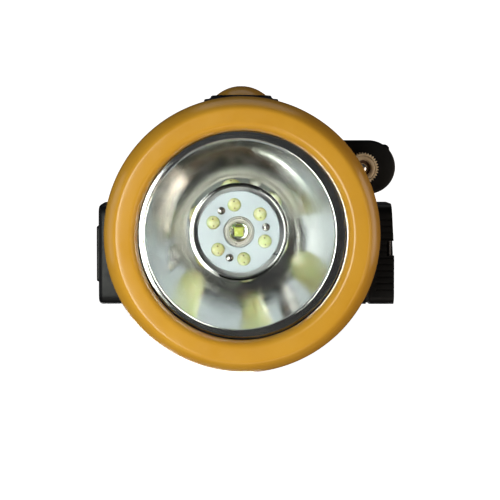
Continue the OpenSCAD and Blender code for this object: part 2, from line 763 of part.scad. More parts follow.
// Plate behind the battery with two ears for the hinge pin and a block that carries the blade.
module clip_base() {
    color([0.1, 0.1, 0.11]) difference() {
        union() {
            rounded_plate(30, pivot_z + barrel_r + 0.9, clip_top, clip_plate_back,
                clip_plate_front, 2);
            block([-blade_w / 2, blade_t, clip_top - 8],
                [blade_w / 2, clip_plate_back + 1, clip_top]);
            for (s = [-1, 1], x0 = [min(s * ear_in, s * ear_out)]) {
                cross_bar(barrel_r, x0, x0 + ear_out - ear_in, pivot_d, pivot_z);
                block([x0, clip_plate_back, pivot_z - barrel_r],
                    [x0 + ear_out - ear_in, pivot_d, pivot_z + barrel_r]);
                block([x0, clip_plate_back, pivot_z],
                    [x0 + ear_out - ear_in, clip_plate_front, pivot_z + 8]);
            }
        }
        cross_bar(pin_r + 0.02, -20, 20, pivot_d, pivot_z);
        for (x = [-6, 6]) bar(1.25, -1, clip_plate_front + 1, x, clip_top - 4);
        for (x = [-6, 6]) bar(2.3, clip_plate_front - 1, clip_plate_front + 1, x, clip_top - 4);
    }
}

// Spring-steel tongue that slides into the helmet's bracket.
module clip_blade() {
    tail = pivot_z + 1;
    color(STEEL) difference() {
        union() {
            rounded_plate(blade_w, tail, clip_top, 0, blade_t, 3);
            translate([-5, -blade_t, -12]) rotate([90, 0, 90]) linear_extrude(10)
                polygon([[0.2, 0], [-0.6, 2.6], [-0.6, 3.4], [0.2, 6]]);
        }
        for (x = [-6, 6]) bar(1.25, -1, blade_t + 1, x, clip_top - 4);
        for (x = [-6, 6]) bar(2.3, -1, 0.75, x, clip_top - 4);
    }
}

module clip_rivets() {
    color(STEEL) for (x = [-6, 6]) union() {
        bar(1.2, 0.05, clip_plate_front - 0.1, x, clip_top - 4);
        bar(2.2, 0.05, 0.75, x, clip_top - 4);
        bar(2.2, clip_plate_front - 1, clip_plate_front - 0.1, x, clip_top - 4);
    }
}

// Pin through the ears and the case's knuckle.
module hinge_pin() {
    color(STEEL) difference() {
        cross_bar(pin_r, -ear_out - 2.2, ear_out + 2.2, pivot_d, pivot_z);
        for (s = [-1, 1]) difference() {
            cross_bar(pin_r + 1, s * (ear_out + 1) - 0.35, s * (ear_out + 1) + 0.35,
                pivot_d, pivot_z);
            cross_bar(pin_r - 0.35, -20, 20, pivot_d, pivot_z);
        }
    }
}

module hinge_circlips() {
    color(STEEL) for (s = [-1, 1]) difference() {
        cross_bar(pin_r + 1.3, s * (ear_out + 1) - 0.3, s * (ear_out + 1) + 0.3,
            pivot_d, pivot_z);
        cross_bar(pin_r - 0.33, -20, 20, pivot_d, pivot_z);
        block([-20, pivot_d - 1.1, pivot_z - 6], [20, pivot_d + 1.1, pivot_z]);
    }
}

module hinge_washers() {
    color(BRASS) for (s = [-1, 1]) difference() {
        cross_bar(barrel_r - 0.2, s * (ear_in - 0.17) - 0.13, s * (ear_in - 0.17) + 0.13,
            pivot_d, pivot_z);
        cross_bar(pin_r + 0.05, -20, 20, pivot_d, pivot_z);
    }
}

bezel();
bezel_lock_screw();
lens();
lens_gasket();
reflector();
led_plate();
plate_screws();
aux_board();
aux_leds();
main_led_star();
main_led_body();
main_led_die();
main_led_lens();
heat_sink();
heat_sink_screws();
lamp_housing();
housing_oring();
battery_case();
case_screws();
battery_cap();
cap_gasket();
cap_screws();
lanyard_pin();
battery_cell();
cell_contact();
cell_spring();
rear_cover();
cover_gasket();
cover_screws();
driver_board();
board_inductor();
board_capacitor();
board_chips();
switch_board();
switch_board_screws();
switch_body();
switch_stem();
button_cap();
button_plunger();
button_spring();
button_collar();
button_seal();
charge_socket();
charge_nut();
charge_insulator();
charge_stud();
clip_base();
clip_blade();
clip_rivets();
hinge_pin();
hinge_circlips();
hinge_washers();
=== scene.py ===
"""Looks of a cordless miner's cap lamp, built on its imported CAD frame.

Metres, +Z up, the lamp shining along -Y. A piece's depth is its distance in front of the helmet,
so a depth d lies at y = -d. Sections follow the lamp from the bezel back to the helmet clip.
"""

import math

import bmesh
import bpy
import numpy as np
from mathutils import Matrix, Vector


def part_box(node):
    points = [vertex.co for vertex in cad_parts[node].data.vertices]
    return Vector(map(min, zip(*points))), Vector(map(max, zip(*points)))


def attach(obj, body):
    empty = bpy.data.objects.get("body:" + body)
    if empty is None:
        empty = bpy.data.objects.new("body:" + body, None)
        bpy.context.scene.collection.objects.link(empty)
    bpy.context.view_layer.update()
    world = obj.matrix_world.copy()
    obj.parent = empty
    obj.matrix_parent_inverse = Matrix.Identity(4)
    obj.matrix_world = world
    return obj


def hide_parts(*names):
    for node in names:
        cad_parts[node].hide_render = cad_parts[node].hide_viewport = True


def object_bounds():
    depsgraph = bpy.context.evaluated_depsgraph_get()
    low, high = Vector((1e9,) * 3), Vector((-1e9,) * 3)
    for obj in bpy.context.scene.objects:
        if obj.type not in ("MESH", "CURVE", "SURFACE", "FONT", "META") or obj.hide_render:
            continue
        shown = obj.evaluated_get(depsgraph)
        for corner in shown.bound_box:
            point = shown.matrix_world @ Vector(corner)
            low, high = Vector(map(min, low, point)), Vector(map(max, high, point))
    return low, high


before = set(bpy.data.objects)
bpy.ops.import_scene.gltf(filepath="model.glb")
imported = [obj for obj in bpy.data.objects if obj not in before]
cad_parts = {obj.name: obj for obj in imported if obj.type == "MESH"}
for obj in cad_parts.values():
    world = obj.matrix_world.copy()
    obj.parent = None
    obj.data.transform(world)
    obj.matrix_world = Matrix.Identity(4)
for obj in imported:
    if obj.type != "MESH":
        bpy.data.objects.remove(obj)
cad_low, cad_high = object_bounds()

# ---------------------------------------------------------------------------------------------
# Bezel: the yellow ring that screws on over the housing and clamps the lens. Moulded in nylon
# with a satin, faintly grained skin; its front is almost flat, with a rounded ridge outside.


def built(name, points, faces, body, material, replaces=(), slot=None, smooth=60):
    """A mesh from an (n, 3) array of points and an (m, 3 or 4) array of faces, riding on body."""
    mesh = bpy.data.meshes.new(name)
    mesh.from_pydata(np.asarray(points, float).tolist(), [], [list(f) for f in faces])
    mesh.validate()
    piece = bpy.data.objects.new(name, mesh)
    bpy.context.scene.collection.objects.link(piece)
    mesh.materials.append(material)
    mesh.polygons.foreach_set("use_smooth", [True] * len(mesh.polygons))
    mesh.set_sharp_from_angle(angle=math.radians(smooth))
    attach(piece, body)
    if replaces:
        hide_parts(*replaces)
    return piece


def grid_faces(rows, columns, wrap_rows=False, wrap_columns=True):
    """Quads between neighbouring points of a rows by columns grid, wrapped where asked."""
    i = np.arange(rows if wrap_rows else rows - 1)[:, None]
    j = np.arange(columns if wrap_columns else columns - 1)[None, :]
    here = i * columns + j
    right = i * columns + (j + 1) % columns
    up = ((i + 1) % rows) * columns + j
    corner = ((i + 1) % rows) * columns + (j + 1) % columns
    return np.stack(np.broadcast_arrays(here, right, corner, up), -1).reshape(-1, 4)


def rounded_path(corners, steps=6):
    """A path of [radius, along, fillet] corners, each fillet a quadratic curve between the two
    points that lie one fillet length back and on from the corner; a fillet of 0 stays sharp."""
    path = []
    for k, (r, a, fillet) in enumerate(corners):
        here = np.array([r, a], float)
        if fillet <= 0 or k in (0, len(corners) - 1):
            path.append(here)
            continue
        back = np.array(corners[k - 1][:2], float) - here
        on = np.array(corners[k + 1][:2], float) - here
        start = here + back / np.linalg.norm(back) * min(fillet, 0.49 * np.linalg.norm(back))
        end = here + on / np.linalg.norm(on) * min(fillet, 0.49 * np.linalg.norm(on))
        t = np.linspace(0, 1, steps + 1)[:, None]
        path.extend((1 - t) ** 2 * start + 2 * t * (1 - t) * here + t**2 * end)
    return np.array(path)


def turned(path, centre, axis, segments=192, closed=False):
    """Surface of revolution: the point at angle a and step s is centre + radius(s) times
    (cos a, sin a) across the axis + along(s) down the axis. A path that starts or ends on the
    axis closes in a fan there; a closed path joins its end to its start."""
    axis = np.array(axis, float)
    side = np.cross(axis, [0, 0, 1] if abs(axis[2]) < 0.9 else [0, 1, 0])
    other = np.cross(axis, side)
    a = np.linspace(0, 2 * np.pi, segments, endpoint=False)
    ring = np.cos(a)[:, None] * side + np.sin(a)[:, None] * other
    points = (path[:, 0, None, None] * ring[None]) + path[:, 1, None, None] * axis
    points = points.reshape(-1, 3)
    faces = [tuple(f) for f in grid_faces(len(path), segments, wrap_rows=closed)]
    for row, first in ((0, True), (len(path) - 1, False)):
        if not closed and path[row, 0] < 1e-7:
            keep = row * segments
            drop = {keep + k for k in range(segments)}
            faces = [tuple(keep if v in drop else v for v in f) for f in faces]
            faces = [tuple(dict.fromkeys(f)) for f in faces]
    used = sorted({v for f in faces for v in f})
    slot_of = {v: k for k, v in enumerate(used)}
    faces = [tuple(slot_of[v] for v in f) for f in faces]
    return points[used] + np.array(centre, float), faces


def outward(piece):
    """Turns every face of a closed piece outwards."""
    mesh = bmesh.new()
    mesh.from_mesh(piece.data)
    bmesh.ops.remove_doubles(mesh, verts=mesh.verts, dist=1e-7)
    bmesh.ops.recalc_face_normals(mesh, faces=mesh.faces)
    mesh.to_mesh(piece.data)
    mesh.free()
    return piece


def shader(name, **settings):
    """A node material with its Principled shader's sockets set, and object coordinates at hand."""
    material = bpy.data.materials.new(name)
    material.use_nodes = True
    nodes = material.node_tree.nodes
    bsdf = nodes["Principled BSDF"]
    for socket, value in settings.items():
        bsdf.inputs[socket.replace("_", " ")].default_value = value
    return material, nodes, material.node_tree.links, bsdf, nodes.new("ShaderNodeTexCoord")


def noise(nodes, links, vector, scale, detail=3, roughness=0.55):
    """Fractal noise over a vector socket."""
    node = nodes.new("ShaderNodeTexNoise")
    node.inputs["Scale"].default_value = scale
    node.inputs["Detail"].default_value = detail
    node.inputs["Roughness"].default_value = roughness
    links.new(vector, node.inputs["Vector"])
    return node.outputs["Fac"]


def spread(nodes, links, value, low, high, start=0.3, end=0.7):
    """Maps a value from start..end to low..high."""
    node = nodes.new("ShaderNodeMapRange")
    for socket, number in (("From Min", start), ("From Max", end), ("To Min", low), ("To Max", high)):
        node.inputs[socket].default_value = number
    links.new(value, node.inputs["Value"])
    return node.outputs["Result"]


def mixed(nodes, links, value, one, two):
    """Blends two colours by a value."""
    node = nodes.new("ShaderNodeMix")
    node.data_type = "RGBA"
    node.inputs[6].default_value = (*one, 1)
    node.inputs[7].default_value = (*two, 1)
    links.new(value, node.inputs[0])
    return node.outputs[2]


def bumped(nodes, links, bsdf, height, strength, distance):
    """Adds a bump from a height socket, after any bump already on the shader."""
    node = nodes.new("ShaderNodeBump")
    node.inputs["Strength"].default_value = strength
    node.inputs["Distance"].default_value = distance
    if bsdf.inputs["Normal"].links:
        links.new(bsdf.inputs["Normal"].links[0].from_socket, node.inputs["Normal"])
    links.new(height, node.inputs["Height"])
    links.new(node.outputs["Normal"], bsdf.inputs["Normal"])


def moulded_plastic(name, colour, second, low, high, grain=0.25, grain_scale=5200, **settings):
    """Injection-moulded plastic: cloudy colour, uneven gloss, and a fine spark-eroded grain."""
    material, nodes, links, bsdf, place = shader(name, **settings)
    where = place.outputs["Object"]
    cloud = noise(nodes, links, where, 70, 4)
    links.new(mixed(nodes, links, spread(nodes, links, cloud, 0, 1), colour, second),
              bsdf.inputs["Base Color"])
    links.new(spread(nodes, links, noise(nodes, links, where, 260, 5), low, high),
              bsdf.inputs["Roughness"])
    bumped(nodes, links, bsdf, noise(nodes, links, where, grain_scale, 2), grain, 0.00004)
    bumped(nodes, links, bsdf, noise(nodes, links, where, 140, 2), 0.12, 0.0002)
    return material


yellow = moulded_plastic("yellow_nylon", (0.505, 0.258, 0.026), (0.462, 0.224, 0.018), 0.18, 0.27,
                         grain=0.07, Specular_IOR_Level=0.32)

bezel_low, bezel_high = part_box("bezel")
bezel_r = bezel_high.x
front = -bezel_low.y
bezel_back = -bezel_high.y
lens_low, lens_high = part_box("lens")
lens_r, lens_front, lens_back = lens_high.x, -lens_low.y, -lens_high.y
window_r = lens_r - 0.0018
bezel_path = rounded_path([
    [bezel_r - 0.0029, bezel_back, 0.0002],
    [bezel_r, bezel_back, 0.0008],
    [bezel_r, front - 0.0054, 0.0012],
    [bezel_r - 0.0006, front - 0.0035, 0.0011],
    [bezel_r - 0.0018, front - 0.0014, 0.0010],
    [bezel_r - 0.0030, front - 0.00012, 0.00075],
    [bezel_r - 0.0042, front - 0.00010, 0.0004],
    [window_r + 0.0015, front - 0.00018, 0.0008],
    [window_r + 0.0004, front - 0.0014, 0.0007],
    [window_r, lens_front + 0.0006, 0.0002],
    [lens_r, lens_front + 0.0006, 0.0002],
    [lens_r + 0.0004, front - 0.0055, 0.0002],
    [bezel_r - 0.0029, front - 0.0055, 0.0002],
    [bezel_r - 0.0029, bezel_back, 0],
])
outward(built("bezel_ring", *turned(bezel_path, (0, 0, 0), (0, -1, 0), 256, closed=True), "lamp",
              yellow, ["bezel"], "yellow_plastic"))

# ---------------------------------------------------------------------------------------------
# Lens: a clear polycarbonate disc, polished both sides, held between the bezel's lip and the
# reflector's rim by a thin black gasket.

clear, nodes, links, bsdf, place = shader("clear_polycarbonate", Transmission_Weight=1.0,
                                          IOR=1.18)
links.new(spread(nodes, links, noise(nodes, links, place.outputs["Object"], 90, 3), 0.0, 0.03),
          bsdf.inputs["Roughness"])
links.new(mixed(nodes, links, noise(nodes, links, place.outputs["Object"], 20, 2),
                (0.985, 0.99, 0.99), (0.97, 0.98, 0.98)), bsdf.inputs["Base Color"])
lens_path = rounded_path([[0, lens_back, 0], [lens_r, lens_back, 0.0003],
                          [lens_r, lens_front, 0.0003], [0, lens_front, 0]])
outward(built("lens_disc", *turned(lens_path, (0, 0, 0), (0, -1, 0), 128), "lamp", clear,
              ["lens"], "clear_lens"))

# ---------------------------------------------------------------------------------------------
# Reflector: a plastic parabola with an aluminium film, with a bright rounded edge and bevel at its
# rim and a raised lip at the neck. The film follows slight waves in the moulding. Behind the lip
# the film's colour turns near black, a painted shade that darkens the short tube inside.

plate_low, plate_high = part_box("led_plate")
reflector_low, reflector_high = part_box("reflector")
plate_r, plate_front = (plate_high.x - plate_low.x) / 2, -plate_low.y
optics = np.array([(plate_low.x + plate_high.x) / 2, 0, 0])
neck_r, mouth_r = 0.0122, 0.0240
neck_plane = plate_front + 0.0003

film, nodes, links, bsdf, place = shader("aluminium_film", Metallic=1.0)
where = place.outputs["Object"]
silver = mixed(nodes, links, noise(nodes, links, where, 60, 3), (0.80, 0.80, 0.785),
               (0.72, 0.72, 0.71))
# Painted shade: behind the neck's lip the film's base colour blends to near black, in place of the shade
# inside the tube.
split = nodes.new("ShaderNodeSeparateXYZ")
links.new(where, split.inputs["Vector"])
tube_painted_shade = nodes.new("ShaderNodeMix")
tube_painted_shade.data_type = "RGBA"
tube_painted_shade.inputs[7].default_value = (0.05, 0.055, 0.065, 1)
links.new(spread(nodes, links, split.outputs["Y"], 0, 1, -neck_plane - 0.0003,
                 -neck_plane - 0.0001), tube_painted_shade.inputs[0])
links.new(silver, tube_painted_shade.inputs[6])
links.new(tube_painted_shade.outputs[2], bsdf.inputs["Base Color"])
links.new(spread(nodes, links, noise(nodes, links, where, 120, 4), 0.05, 0.12),
          bsdf.inputs["Roughness"])
bumped(nodes, links, bsdf, noise(nodes, links, where, 55, 1.2, 0.4), 0.28, 0.0006)
bumped(nodes, links, bsdf, noise(nodes, links, where, 900, 3), 0.07, 0.00004)

rim = lens_back
bowl_rim = rim - 0.00095
focal = (mouth_r**2 - neck_r**2) / (4 * (bowl_rim - neck_plane))


def bowl(steps):
    """A parabola's profile: depth = rim less (mouth radius squared less radius squared) over
    four focal lengths, from the neck's radius to the mouth's."""
    r = np.linspace(neck_r, mouth_r, steps)
    return np.stack([r, bowl_rim - (mouth_r**2 - r**2) / (4 * focal)], 1)


def bead(steps):
    """The rim's rounded inner edge and bevel: radius = middle - 0.48 mm times cos a, depth =
    the bowl's rim + 0.43 mm + 0.5 mm times sin a, then a bevel that falls outwards by 4 degrees."""
    a = np.linspace(0.07, np.radians(94), steps)
    edge = np.stack([mouth_r + 0.0005 - 0.00048 * np.cos(a), bowl_rim + 0.00043 + 0.0005 * np.sin(a)],
                    1)
    r = np.linspace(edge[-1, 0], mouth_r + 0.0023, 6)[1:]
    bevel = np.stack([r, edge[-1, 1] - (r - edge[-1, 0]) * np.tan(np.radians(4))], 1)
    return np.concatenate([edge, bevel])


bowl_path = np.concatenate([
    rounded_path([
        [neck_r + 0.0006, -reflector_high.y, 0],
        [neck_r - 0.0006, -reflector_high.y, 0.0001],
        [neck_r - 0.0006, neck_plane + 0.0005, 0.00025],
        [neck_r - 0.00005, neck_plane + 0.0005, 0.0002],
        [neck_r, neck_plane, 0]]),
    bowl(90)[1:],
    bead(16),
    rounded_path([
        [mouth_r + 0.0024, bowl_rim - 0.0004, 0],
        [lens_r - 0.0004, bowl_rim - 0.0004, 0.0002],
        [lens_r - 0.0004, bowl_rim - 0.0016, 0.0002],
        [mouth_r + 0.0010, bowl_rim - 0.0016, 0]]),
    (bowl(40)[::-1] + [0.0010, -0.0010])[2:],
])
outward(built("reflector_bowl", *turned(bowl_path, optics, (0, -1, 0), 256, closed=True),
              "lamp", film, ["reflector"], "reflector_metal"))

# ---------------------------------------------------------------------------------------------
# LED plate: a pale blue-grey plastic disc that frames the diodes, set just inside the neck so
# that a gap shows round it, dark with the painted shade on the tube's wall. Six soft-domed diodes
# stand on a circle round its middle.

lacquer = moulded_plastic("pale_blue_lacquer", (0.60, 0.68, 0.74), (0.54, 0.62, 0.69), 0.32, 0.5,
                          grain=0.08)
plate_back = -plate_high.y
plate_path = rounded_path([[0.00405, plate_back, 0], [plate_r, plate_back, 0.0001],
                           [plate_r, plate_front, 0.00025], [0.00405, plate_front, 0.0001],
                           [0.00405, plate_back, 0]])
outward(built("led_plate_disc", *turned(plate_path, optics, (0, -1, 0), 160, closed=True),
              "lamp", lacquer, ["led_plate"], "plate_white"))

circle_r, led_r, screw_r = 0.0071, 0.00175, 0.00105


def round_the_plate(count, first):
    """Middles of count like pieces on the plate's circle, the first at an angle in degrees."""
    a = np.radians(first + 360 / count * np.arange(count))
    return optics + np.stack([circle_r * np.cos(a), np.zeros(count), circle_r * np.sin(a)], 1)


resin, nodes, links, bsdf, place = shader("phosphor_resin", Subsurface_Weight=0.25,
                                          Subsurface_Scale=0.0008, Coat_Weight=0.6,
                                          Coat_Roughness=0.08)
where = place.outputs["Object"]
links.new(mixed(nodes, links, spread(nodes, links, noise(nodes, links, where, 900, 3), 0, 1),
                (0.60, 0.64, 0.25), (0.76, 0.79, 0.46)), bsdf.inputs["Base Color"])
links.new(spread(nodes, links, noise(nodes, links, where, 1500, 2), 0.1, 0.25),
          bsdf.inputs["Roughness"])
bumped(nodes, links, bsdf, noise(nodes, links, where, 1100, 2), 0.2, 0.00005)


def dome(radius, height, seat, steps=14):
    """Profile of a low dome: radius times cos a, seat + height times sin a, closed below."""
    a = np.linspace(0, np.pi / 2, steps)
    top = np.stack([radius * np.cos(a), seat + height * np.sin(a)], 1)
    top[-1, 0] = 0
    return np.concatenate([[[0, seat - 0.0014], [radius, seat - 0.0014]], top])


def joined(parts):
    """Several (points, faces) pairs as one."""
    points, faces, start = [], [], 0
    for p, f in parts:
        points.append(p)
        faces += [tuple(v + start for v in face) for face in f]
        start += len(p)
    return np.concatenate(points), faces


outward(built("aux_led_domes", *joined([
    turned(dome(led_r, 0.0014, plate_front + 0.0001), spot, (0, -1, 0), 40)
    for spot in round_the_plate(6, 100)]), "lamp", resin, ["aux_leds"], "phosphor_resin"))

# The bond wires and the dark die corner that show inside each dome, set into its face.
mark = moulded_plastic("die_mark", (0.10, 0.09, 0.02), (0.16, 0.13, 0.04), 0.3, 0.5)
spots = round_the_plate(6, 100)
marks = [turned(dome(0.00022, 0.00007, plate_front + 0.00132), spot + [dx, 0, dz],
                (0, -1, 0), 12)
         for spot in spots for dx, dz in ((-0.0001, 0.0009), (0.0001, -0.0008))]
outward(built("aux_led_marks", *joined(marks), "lamp", mark, slot="black_part"))

# ---------------------------------------------------------------------------------------------
# Plate screws: three small round-headed steel screws, plated, standing proud of the plate.

bright_steel, nodes, links, bsdf, place = shader("plated_steel", Metallic=1.0)
where = place.outputs["Object"]
links.new(mixed(nodes, links, noise(nodes, links, where, 300, 3), (0.42, 0.41, 0.40),
                (0.30, 0.29, 0.28)), bsdf.inputs["Base Color"])
links.new(spread(nodes, links, noise(nodes, links, where, 900, 4), 0.14, 0.3),
          bsdf.inputs["Roughness"])
bumped(nodes, links, bsdf, noise(nodes, links, where, 2400, 3), 0.2, 0.00003)
outward(built("plate_screw_heads", *joined([
    turned(dome(screw_r, 0.0008, plate_front), spot, (0, -1, 0), 32)
    for spot in round_the_plate(3, 130)]), "lamp", bright_steel, ["plate_screws"],
    "screw_steel"))

# ---------------------------------------------------------------------------------------------
# Main emitter: an off-white moulded body with a ring groove and two pegs, a bright cup, a dark
# well under the square phosphor die, and a clear silicone dome over them.

emitter_low, emitter_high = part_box("main_led_body")
emitter_r, emitter_top = (emitter_high.x - emitter_low.x) / 2, -emitter_low.y - 0.00025
ceramic = moulded_plastic("off_white_moulding", (0.70, 0.69, 0.64), (0.60, 0.59, 0.54), 0.25, 0.5,
                          grain=0.2, grain_scale=2600)
body_path = rounded_path([
    [0.0026, -emitter_high.y, 0], [emitter_r, -emitter_high.y, 0.0001],
    [emitter_r, emitter_top - 0.0005, 0.00015], [emitter_r - 0.0004, emitter_top - 0.0005, 0.0001],
    [emitter_r - 0.0005, emitter_top, 0.0002], [0.00305, emitter_top, 0.00005],
    [0.00298, emitter_top - 0.0003, 0], [0.00290, emitter_top - 0.0003, 0],
    [0.00284, emitter_top, 0.00005], [0.0026, emitter_top - 0.00005, 0.0001],
    [0.0026, -emitter_high.y, 0]])
pegs = [turned(dome(0.00038, 0.0003, emitter_top),
               optics + [3.4e-3 * math.cos(g), 0, 3.4e-3 * math.sin(g)], (0, -1, 0), 20)
        for g in (math.radians(75), math.radians(255))]
outward(built("emitter_body", *joined([turned(body_path, optics, (0, -1, 0), 96, closed=True)]
              + pegs), "lamp", ceramic, ["main_led_body"], "led_ceramic"))

cup, nodes, links, bsdf, place = shader("silvered_cup", Metallic=1.0)
where = place.outputs["Object"]
links.new(mixed(nodes, links, noise(nodes, links, where, 700, 3), (0.82, 0.83, 0.80),
                (0.66, 0.67, 0.65)), bsdf.inputs["Base Color"])
links.new(spread(nodes, links, noise(nodes, links, where, 1200, 3), 0.18, 0.34),
          bsdf.inputs["Roughness"])
bumped(nodes, links, bsdf, noise(nodes, links, where, 1500, 2), 0.25, 0.00005)
cup_seat = emitter_top - 0.00078
cup_path = rounded_path([[0.0013, cup_seat, 0], [0.00175, cup_seat, 0.0001],
                         [0.00185, cup_seat + 0.0003, 0.0001],
                         [0.00255, emitter_top - 0.0001, 0.0001], [0.00258, emitter_top - 0.0002, 0],
                         [0.0021, cup_seat - 0.0002, 0], [0.0013, cup_seat - 0.0002, 0],
                         [0.0013, cup_seat, 0]])
outward(built("emitter_cup", *turned(cup_path, optics, (0, -1, 0), 64, closed=True), "lamp",
              cup, slot="led_ceramic"))

well = moulded_plastic("dark_well", (0.14, 0.14, 0.10), (0.20, 0.20, 0.14), 0.3, 0.5)
outward(built("emitter_well", *turned(
    rounded_path([[0, cup_seat - 0.0002, 0], [0.0014, cup_seat - 0.0002, 0],
                  [0.0014, cup_seat - 0.00002, 0.00005], [0, cup_seat - 0.00002, 0]]),
    optics, (0, -1, 0), 48), "lamp", well, slot="black_part"))


def pillow(half, low, high, steps=16):
    """A square tablet: each point of a unit grid (u, v) goes to half times (u, v), and its depth
    falls from high to low as the larger of |u|, |v| nears 1 (an eighth-power edge)."""
    u, v = np.meshgrid(np.linspace(-1, 1, steps), np.linspace(-1, 1, steps), indexing="ij")
    edge = np.maximum(abs(u), abs(v)) ** 8
    top = np.stack([half * u, -(high - (high - low) * 0.35 * edge), half * v], -1).reshape(-1, 3)
    under = np.stack([half * u, np.full_like(u, -low), half * v], -1).reshape(-1, 3)
    faces = grid_faces(steps, steps, wrap_columns=False)
    rim_loop = np.concatenate([np.arange(steps), np.arange(1, steps) * steps + steps - 1,
                               (steps - 1) * steps + np.arange(steps - 2, -1, -1),
                               np.arange(steps - 2, 0, -1) * steps])
    on = np.roll(rim_loop, -1)
    n = steps * steps
    wall = np.stack([rim_loop, rim_loop + n, on + n, on], 1)
    return optics + np.concatenate([top, under]), [tuple(f) for f in np.concatenate(
        [faces, faces[:, ::-1] + n, wall])]


die_glow, nodes, links, bsdf, place = shader("phosphor_die", Subsurface_Weight=0.2,
                                             Subsurface_Scale=0.0004)
where = place.outputs["Object"]
links.new(mixed(nodes, links, spread(nodes, links, noise(nodes, links, where, 1400, 3), 0, 1),
                (0.62, 0.70, 0.07), (0.80, 0.84, 0.25)), bsdf.inputs["Base Color"])
links.new(spread(nodes, links, noise(nodes, links, where, 2000, 2), 0.3, 0.5),
          bsdf.inputs["Roughness"])
bumped(nodes, links, bsdf, noise(nodes, links, where, 1800, 2), 0.3, 0.00005)
outward(built("emitter_die", *pillow(0.00095, cup_seat, cup_seat + 0.0004), "lamp", die_glow,
              ["main_led_die"], "phosphor_die"))

silicone, nodes, links, bsdf, place = shader("clear_silicone", Transmission_Weight=1.0, IOR=1.25)
links.new(spread(nodes, links, noise(nodes, links, place.outputs["Object"], 900, 2), 0.0, 0.05),
          bsdf.inputs["Roughness"])
links.new(mixed(nodes, links, noise(nodes, links, place.outputs["Object"], 300, 2),
                (0.97, 0.98, 0.97), (0.94, 0.96, 0.94)), bsdf.inputs["Base Color"])
a = np.linspace(0, np.pi / 2, 24)
dome_path = np.concatenate([[[0, emitter_top - 0.00002], [0.00255, emitter_top - 0.00002]],
                            np.stack([0.0025 * np.cos(a), emitter_top + 0.0021 * np.sin(a)], 1)])
dome_path[-1, 0] = 0
outward(built("emitter_dome", *turned(dome_path, optics, (0, -1, 0), 64), "lamp", silicone,
              ["main_led_lens"], "clear_dome"))

# ---------------------------------------------------------------------------------------------
# Lamp housing: the black moulded pot behind the bezel, with a short threaded neck inside the
# bezel's skirt, a round boss on top for the button and a lug at the right for charging.

black_tones = (0.0022, 0.0023, 0.0027), (0.0042, 0.0044, 0.0052)
black = moulded_plastic("black_nylon", *black_tones, 0.34, 0.5, grain=0.3, grain_scale=4200,
                        Specular_IOR_Level=0.18)
housing_low, housing_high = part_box("lamp_housing")
housing_back, housing_rim = -housing_high.y, -housing_low.y
housing_r, neck_out = 0.0330, bezel_r - 0.00295
housing_path = rounded_path([
    [0, housing_back + 0.0020, 0],
    [housing_r - 0.0025, housing_back + 0.0020, 0.001],
    [housing_r - 0.0025, bezel_back - 0.0040, 0.001],
    [lens_r - 0.0010, bezel_back - 0.0006, 0.001],
    [lens_r - 0.0010, housing_rim - 0.0040, 0.0002],
    [lens_r + 0.0006, housing_rim - 0.0040, 0.0002],
    [lens_r + 0.0006, housing_rim, 0.0003],
    [neck_out, housing_rim, 0.0003],
    [neck_out, bezel_back - 0.0004, 0.0002],
    [housing_r, bezel_back - 0.0004, 0.0005],
    [housing_r, housing_back, 0.0014],
    [0, housing_back, 0],
])
shell = outward(built("housing_shell", *turned(housing_path, (0, 0, 0), (0, -1, 0), 224), "lamp",
                      black, ["lamp_housing"], "black_shell"))


def cut_away(piece, points, faces):
    """Takes a closed shape out of a piece with an exact boolean."""
    mesh = bpy.data.meshes.new("cutter")
    mesh.from_pydata(np.asarray(points).tolist(), [], [list(f) for f in faces])
    cutter = outward(bpy.data.objects.new("cutter", mesh))
    bpy.context.scene.collection.objects.link(cutter)
    cut = piece.modifiers.new("cut", "BOOLEAN")
    cut.object, cut.solver = cutter, "EXACT"
    depsgraph = bpy.context.evaluated_depsgraph_get()
    mesh = bpy.data.meshes.new_from_object(piece.evaluated_get(depsgraph))
    piece.modifiers.clear()
    piece.data = mesh
    mesh.set_sharp_from_angle(angle=math.radians(45))
    bpy.data.objects.remove(cutter)


nut_low, nut_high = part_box("charge_nut")
socket = ((nut_low.x + nut_high.x) / 2, 0, (nut_low.z + nut_high.z) / 2)
nut_r, nut_front, nut_back = (nut_high.x - nut_low.x) / 2, -nut_low.y, -nut_high.y
cut_away(shell, *turned(np.array([[0, nut_back], [nut_r + 0.0003, nut_back],
                                  [nut_r + 0.0003, bezel_back], [0, bezel_back]]),
                        socket, (0, -1, 0), 96))

collar_low, collar_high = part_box("button_collar")
button_y = (collar_low.y + collar_high.y) / 2
pocket_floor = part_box("button_seal")[0].z
boss_top = pocket_floor + 0.0038
boss_path = rounded_path([
    [0.0022, pocket_floor - 0.0008, 0], [0.0096, pocket_floor - 0.0008, 0],
    [0.0097, boss_top, 0.0005], [0.00862, boss_top, 0.00015], [0.00862, pocket_floor, 0],
    [0.0022, pocket_floor, 0], [0.0022, pocket_floor - 0.0008, 0]])
outward(built("button_boss", *turned(boss_path, (0, button_y, 0), (0, 0, 1), 128, closed=True),
              "lamp", black, slot="black_shell"))


def soft_outline(corners, steps=8):
    """A closed outline of [u, v, fillet] corners, each fillet a quadratic curve as on a path."""
    n = len(corners)
    out = []
    for k, (u, v, fillet) in enumerate(corners):
        here = np.array([u, v], float)
        back = np.array(corners[k - 1][:2], float) - here
        on = np.array(corners[(k + 1) % n][:2], float) - here
        if fillet <= 0:
            out.append(here[None])
            continue
        start = here + back / np.linalg.norm(back) * min(fillet, 0.49 * np.linalg.norm(back))
        end = here + on / np.linalg.norm(on) * min(fillet, 0.49 * np.linalg.norm(on))
        t = np.linspace(0, 1, steps + 1)[:, None]
        out.append((1 - t) ** 2 * start + 2 * t * (1 - t) * here + t**2 * end)
    return np.concatenate(out)


